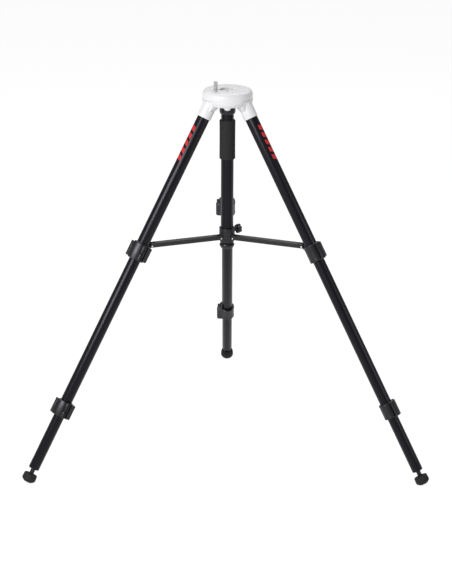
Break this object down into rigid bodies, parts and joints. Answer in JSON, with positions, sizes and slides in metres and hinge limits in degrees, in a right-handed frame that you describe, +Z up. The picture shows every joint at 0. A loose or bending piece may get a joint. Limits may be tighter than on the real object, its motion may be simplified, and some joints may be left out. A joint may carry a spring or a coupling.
{
  "type": "instrument tripod",
  "caption": "Folding three-leg instrument tripod: cast head with azimuth pin, telescoping legs with flip locks, centre column and spreader.",
  "frame": {"origin": "middle of the bounding box, on the floor that the feet stand on", "axes": "+Z up along the tripod's axis, +Y towards the single rear leg, +X to the right of the two front legs"},
  "size_m": [1.1042, 0.9621, 1.0485],
  "materials": {
    "white_paint": "off-white semi-gloss paint on a casting",
    "black_tube": "black anodised satin aluminium tube",
    "black_plastic": "moulded black plastic, fine texture",
    "dark_arm": "black painted pressed steel",
    "foam": "closed-cell foam sleeve",
    "rubber": "moulded black rubber",
    "steel": "turned bright steel"
  },
  "bodies": {
    "head": {"head_cover": "white_paint", "head_bush": "white_paint", "head_base": "white_paint", "azimuth_pin": "steel", "leg_1_hinge_pin": "steel", "leg_2_hinge_pin": "steel", "leg_3_hinge_pin": "steel"},
    "column": {"column_tube": "black_tube", "column_collar": "black_plastic", "column_grip": "foam", "column_end_ring": "black_plastic", "mount_bolt": "steel"},
    "hub": {"hub_body": "black_plastic", "spreader_pin_1": "steel", "spreader_pin_2": "steel", "spreader_pin_3": "steel"},
    "knob": {"hub_knob": "black_plastic", "knob_screw": "steel"},
    "leg_1": {"leg_1_root": "white_paint", "leg_1_upper_tube": "black_tube", "leg_1_upper_lock": "black_plastic", "leg_1_upper_lock_bolt": "dark_arm"},
    "middle_1": {"leg_1_middle_tube": "black_tube", "leg_1_lower_lock": "black_plastic", "leg_1_lower_lock_bolt": "dark_arm"},
    "lower_1": {"leg_1_lower_tube": "black_tube", "leg_1_foot_stem": "black_plastic", "leg_1_foot_pad": "rubber"},
    "upper_lever_1": {"leg_1_upper_lever": "black_plastic"},
    "lower_lever_1": {"leg_1_lower_lever": "black_plastic"},
    "arm_1": {"spreader_arm_1": "dark_arm"},
    "arm_end_1": {"spreader_end_1": "dark_arm"},
    "leg_2": {"leg_2_root": "white_paint", "leg_2_upper_tube": "black_tube", "leg_2_upper_lock": "black_plastic", "leg_2_upper_lock_bolt": "dark_arm"},
    "middle_2": {"leg_2_middle_tube": "black_tube", "leg_2_lower_lock": "black_plastic", "leg_2_lower_lock_bolt": "dark_arm"},
    "lower_2": {"leg_2_lower_tube": "black_tube", "leg_2_foot_stem": "black_plastic", "leg_2_foot_pad": "rubber"},
    "upper_lever_2": {"leg_2_upper_lever": "black_plastic"},
    "lower_lever_2": {"leg_2_lower_lever": "black_plastic"},
    "arm_2": {"spreader_arm_2": "dark_arm"},
    "arm_end_2": {"spreader_end_2": "dark_arm"},
    "leg_3": {"leg_3_root": "white_paint", "leg_3_upper_tube": "black_tube", "leg_3_upper_lock": "black_plastic", "leg_3_upper_lock_bolt": "dark_arm"},
    "middle_3": {"leg_3_middle_tube": "black_tube", "leg_3_lower_lock": "black_plastic", "leg_3_lower_lock_bolt": "dark_arm"},
    "lower_3": {"leg_3_lower_tube": "black_tube", "leg_3_foot_stem": "black_plastic", "leg_3_foot_pad": "rubber"},
    "upper_lever_3": {"leg_3_upper_lever": "black_plastic"},
    "lower_lever_3": {"leg_3_lower_lever": "black_plastic"},
    "arm_3": {"spreader_arm_3": "dark_arm"},
    "arm_end_3": {"spreader_end_3": "dark_arm"}
  },
  "joints": [
    {"name": "column_turn", "type": "hinge", "parent": "head", "child": "column", "pos_m": [0, -0.15339, 0.99651], "axis": [0, 0, 1], "continuous": true},
    {"name": "leg_1_fold", "type": "hinge", "parent": "head", "child": "leg_1", "pos_m": [-0.04226, -0.17779, 0.99651], "axis": [0.5, -0.866, 0], "range_deg": [0, 29]},
    {"name": "leg_2_fold", "type": "hinge", "parent": "head", "child": "leg_2", "pos_m": [0.04226, -0.17779, 0.99651], "axis": [0.5, 0.866, 0], "range_deg": [0, 29]},
    {"name": "leg_3_fold", "type": "hinge", "parent": "head", "child": "leg_3", "pos_m": [0, -0.10459, 0.99651], "axis": [-1, 0, 0], "range_deg": [0, 29]},
    {"name": "hub_slide", "type": "slide", "parent": "head", "child": "hub", "axis": [0, 0, 1], "range_m": [0, 0.1837]},
    {"name": "knob_turn", "type": "hinge", "parent": "hub", "child": "knob", "pos_m": [0, -0.15339, 0.62491], "axis": [0.866, 0.5, 0], "continuous": true},
    {"name": "middle_slide_1", "type": "slide", "parent": "leg_1", "child": "middle_1", "axis": [-0.4337, -0.2504, -0.8656], "range_m": [-0.39, 0]},
    {"name": "lower_slide_1", "type": "slide", "parent": "middle_1", "child": "lower_1", "axis": [-0.4337, -0.2504, -0.8656], "range_m": [-0.14, 0.28]},
    {"name": "upper_lever_1_flip", "type": "hinge", "parent": "leg_1", "child": "upper_lever_1", "pos_m": [-0.22887, -0.31642, 0.61167], "axis": [0.4337, 0.2504, 0.8656], "range_deg": [0, 110]},
    {"name": "lower_lever_1_flip", "type": "hinge", "parent": "middle_1", "child": "lower_lever_1", "pos_m": [-0.43453, -0.43349, 0.20183], "axis": [0.4337, 0.2504, 0.8656], "range_deg": [0, 110]},
    {"name": "arm_1_turn", "type": "hinge", "parent": "hub", "child": "arm_1", "pos_m": [-0.01966, -0.16474, 0.60671], "axis": [0.5, -0.866, 0], "range_deg": [0, 91.4]},
    {"name": "arm_end_1_turn", "type": "hinge", "parent": "leg_1", "child": "arm_end_1", "pos_m": [-0.20578, -0.2722, 0.61902], "axis": [0.5, -0.866, 0], "range_deg": [0, 62.4]},
    {"name": "middle_slide_2", "type": "slide", "parent": "leg_2", "child": "middle_2", "axis": [0.4337, -0.2504, -0.8656], "range_m": [-0.39, 0]},
    {"name": "lower_slide_2", "type": "slide", "parent": "middle_2", "child": "lower_2", "axis": [0.4337, -0.2504, -0.8656], "range_m": [-0.14, 0.28]},
    {"name": "upper_lever_2_flip", "type": "hinge", "parent": "leg_2", "child": "upper_lever_2", "pos_m": [0.25562, -0.27008, 0.61167], "axis": [-0.4337, 0.2504, 0.8656], "range_deg": [0, 110]},
    {"name": "lower_lever_2_flip", "type": "hinge", "parent": "middle_2", "child": "lower_lever_2", "pos_m": [0.45984, -0.38966, 0.20183], "axis": [-0.4337, 0.2504, 0.8656], "range_deg": [0, 110]},
    {"name": "arm_2_turn", "type": "hinge", "parent": "hub", "child": "arm_2", "pos_m": [0.01966, -0.16474, 0.60671], "axis": [0.5, 0.866, 0], "range_deg": [0, 91.4]},
    {"name": "arm_end_2_turn", "type": "hinge", "parent": "leg_2", "child": "arm_end_2", "pos_m": [0.20578, -0.2722, 0.61902], "axis": [0.5, 0.866, 0], "range_deg": [0, 62.4]},
    {"name": "middle_slide_3", "type": "slide", "parent": "leg_3", "child": "middle_3", "axis": [0, 0.5008, -0.8656], "range_m": [-0.39, 0]},
    {"name": "lower_slide_3", "type": "slide", "parent": "middle_3", "child": "lower_3", "axis": [0, 0.5008, -0.8656], "range_m": [-0.14, 0.28]},
    {"name": "upper_lever_3_flip", "type": "hinge", "parent": "leg_3", "child": "upper_lever_3", "pos_m": [-0.02676, 0.12633, 0.61167], "axis": [0, -0.5008, 0.8656], "range_deg": [0, 110]},
    {"name": "lower_lever_3_flip", "type": "hinge", "parent": "middle_3", "child": "lower_lever_3", "pos_m": [-0.02531, 0.36297, 0.20183], "axis": [0, -0.5008, 0.8656], "range_deg": [0, 110]},
    {"name": "arm_3_turn", "type": "hinge", "parent": "hub", "child": "arm_3", "pos_m": [0, -0.13069, 0.60671], "axis": [-1, 0, 0], "range_deg": [0, 91.4]},
    {"name": "arm_end_3_turn", "type": "hinge", "parent": "leg_3", "child": "arm_end_3", "pos_m": [0, 0.08422, 0.61902], "axis": [-1, 0, 0], "range_deg": [0, 62.4]}
  ],
  "couplings": [
    {"joint": "leg_2_fold", "follows": "leg_1_fold", "ratio": 1},
    {"joint": "leg_3_fold", "follows": "leg_1_fold", "ratio": 1},
    {"joint": "hub_slide", "follows": "leg_1_fold", "m_per_rad": 0.36196},
    {"joint": "arm_1_turn", "follows": "leg_1_fold", "ratio": 3.141},
    {"joint": "arm_end_1_turn", "follows": "leg_1_fold", "ratio": 2.141},
    {"joint": "arm_2_turn", "follows": "leg_1_fold", "ratio": 3.141},
    {"joint": "arm_end_2_turn", "follows": "leg_1_fold", "ratio": 2.141},
    {"joint": "arm_3_turn", "follows": "leg_1_fold", "ratio": 3.141},
    {"joint": "arm_end_3_turn", "follows": "leg_1_fold", "ratio": 2.141}
  ]
}
